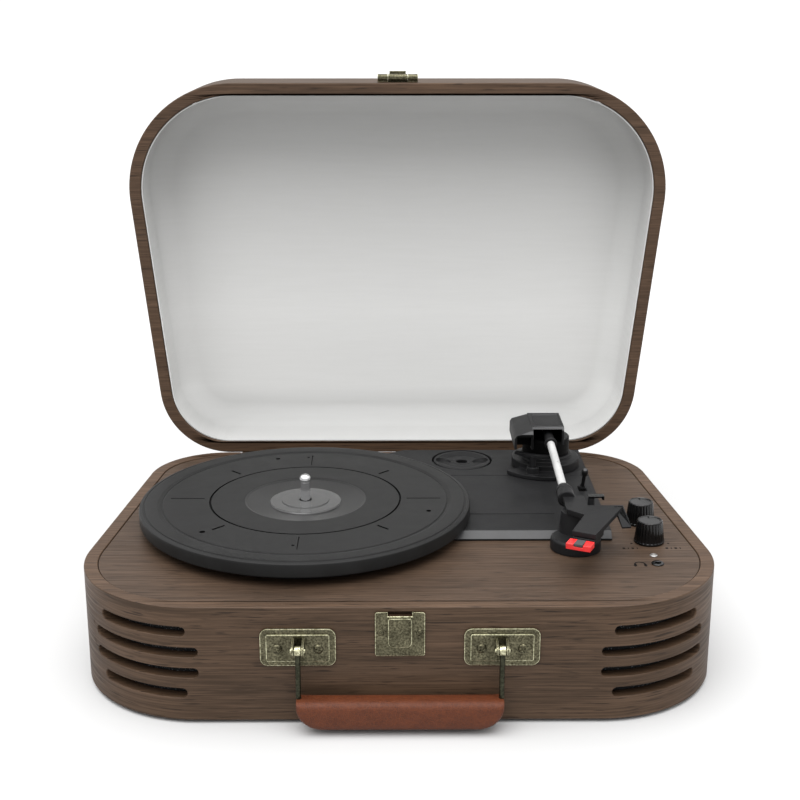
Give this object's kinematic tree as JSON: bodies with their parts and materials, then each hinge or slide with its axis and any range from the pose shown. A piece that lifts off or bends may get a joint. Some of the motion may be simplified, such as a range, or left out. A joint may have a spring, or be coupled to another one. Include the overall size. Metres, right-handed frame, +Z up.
{
  "type": "suitcase record player",
  "caption": "Suitcase-style record player: rounded wooden case with hinged lid, belt-driven platter, tonearm, two knobs, corner speaker slots, latch and carry handle.",
  "frame": {"origin": "middle of the whole object's box at floor level, lid open and handle hanging", "axes": "+X to the arm's side, +Y from the handle to the hinges, +Z up"},
  "size_m": [0.3586, 0.3262, 0.328],
  "materials": {
    "walnut": "satin dark walnut veneer with fine grain",
    "board": "plain fibreboard",
    "lining": "white linen-textured lining",
    "black_plastic": "satin moulded dark grey",
    "gloss_black": "polished black",
    "rubber": "matte",
    "mesh_cloth": "dotted black speaker cloth",
    "brass": "antique, dark with bright worn edges",
    "steel": "satin",
    "chrome": "polished",
    "leather": "pebbled tan",
    "red_plastic": "bright red moulded",
    "circuit": "green solder mask",
    "lens": "milky clear"
  },
  "bodies": {
    "base": {"case_wall": "walnut", "top_panel": "walnut", "bottom_panel": "board", "foot_front_left": "rubber", "foot_front_right": "rubber", "foot_rear_left": "rubber", "foot_rear_right": "rubber", "grille_left": "mesh_cloth", "grille_right": "mesh_cloth", "speaker_left": "steel", "speaker_right": "steel", "rca_sockets": "black_plastic", "dc_jack": "black_plastic", "chassis_plate": "black_plastic", "spindle": "chrome", "motor": "steel", "drive_belt": "rubber", "arm_base": "black_plastic", "arm_rest": "black_plastic", "volume_pot": "steel", "mode_switch": "steel", "led_lens": "lens", "headphone_jack": "gloss_black", "circuit_board": "circuit", "latch_plate": "brass", "handle_bracket_left": "brass", "handle_bracket_right": "brass", "handle_pin_left": "brass", "handle_pin_right": "brass", "hinge_base_left": "brass", "hinge_base_right": "brass", "hinge_pin_left": "brass", "hinge_pin_right": "brass"},
    "lid": {"lid_wall": "walnut", "lid_panel": "walnut", "lid_lining": "lining", "hinge_lid_left": "brass", "hinge_lid_right": "brass", "lid_latch_plate": "brass"},
    "hasp": {"latch_hasp": "brass"},
    "turntable": {"platter": "black_plastic"},
    "pulley": {"motor_pulley": "brass"},
    "adapter": {"adapter_45": "black_plastic"},
    "arm_turret": {"arm_hood": "black_plastic", "arm_pivot_pin": "steel"},
    "arm": {"arm_gimbal": "black_plastic", "arm_tube": "steel", "headshell": "black_plastic", "cartridge": "black_plastic", "stylus": "red_plastic"},
    "clip": {"rest_clip": "gloss_black"},
    "lever": {"cue_lever": "black_plastic"},
    "cue": {"cue_lift": "black_plastic"},
    "volume": {"volume_knob": "gloss_black"},
    "mode": {"mode_knob": "gloss_black"},
    "thumb": {"latch_thumb": "brass"},
    "handle": {"handle_bail": "brass", "handle_grip": "leather"}
  },
  "joints": [
    {"name": "lid_hinge", "type": "hinge", "parent": "base", "child": "lid", "pos_m": [0, 0.10823, 0.06545], "axis": [-1, 0, 0], "range_deg": [-90, 0]},
    {"name": "hasp_flip", "type": "hinge", "parent": "lid", "child": "hasp", "pos_m": [0, 0.11497, 0.32425], "axis": [1, 0, 0], "range_deg": [0, 180]},
    {"name": "platter_spin", "type": "hinge", "parent": "base", "child": "turntable", "pos_m": [-0.0568, -0.02247, 0.082], "axis": [0, 0, 1], "continuous": true},
    {"name": "pulley_spin", "type": "hinge", "parent": "base", "child": "pulley", "pos_m": [0.01248, 0.01752, 0.074], "axis": [0, 0, 1], "continuous": true},
    {"name": "adapter_lift", "type": "slide", "parent": "base", "child": "adapter", "axis": [0, 0, 1], "range_m": [0, 0.012]},
    {"name": "arm_swing", "type": "hinge", "parent": "base", "child": "arm_turret", "pos_m": [0.099, 0.06692, 0.082], "axis": [0, 0, -1], "range_deg": [0, 45]},
    {"name": "arm_lift", "type": "hinge", "parent": "arm_turret", "child": "arm", "pos_m": [0.099, 0.06692, 0.0985], "axis": [-1, 0, 0], "range_deg": [0, 7]},
    {"name": "clip_turn", "type": "hinge", "parent": "base", "child": "clip", "pos_m": [0.1129, -0.05108, 0.0932], "axis": [0, 0, 1], "range_deg": [0, 170]},
    {"name": "cue_lever_turn", "type": "hinge", "parent": "base", "child": "lever", "pos_m": [0.1177, 0.01893, 0.0736], "axis": [-1, 0, 0], "range_deg": [0, 70]},
    {"name": "cue_lift_slide", "type": "slide", "parent": "base", "child": "cue", "axis": [0, 0, 1], "range_m": [0, 0.0032]},
    {"name": "volume_turn", "type": "hinge", "parent": "base", "child": "volume", "pos_m": [0.147, -0.02658, 0.0675], "axis": [0, 0, -1], "range_deg": [0, 280]},
    {"name": "mode_turn", "type": "hinge", "parent": "base", "child": "mode", "pos_m": [0.147, -0.05708, 0.0675], "axis": [0, 0, -1], "range_deg": [0, 90]},
    {"name": "thumb_slide", "type": "slide", "parent": "base", "child": "thumb", "axis": [0, 0, -1], "range_m": [0, 0.002], "stiffness_N_per_m": 300},
    {"name": "handle_swing", "type": "hinge", "parent": "base", "child": "handle", "pos_m": [0, -0.15607, 0.0472], "axis": [-1, 0, 0], "range_deg": [0, 100]}
  ],
  "couplings": [
    {"joint": "pulley_spin", "follows": "platter_spin", "ratio": 17.143},
    {"joint": "cue_lift_slide", "follows": "cue_lever_turn", "m_per_rad": 0.00261}
  ]
}
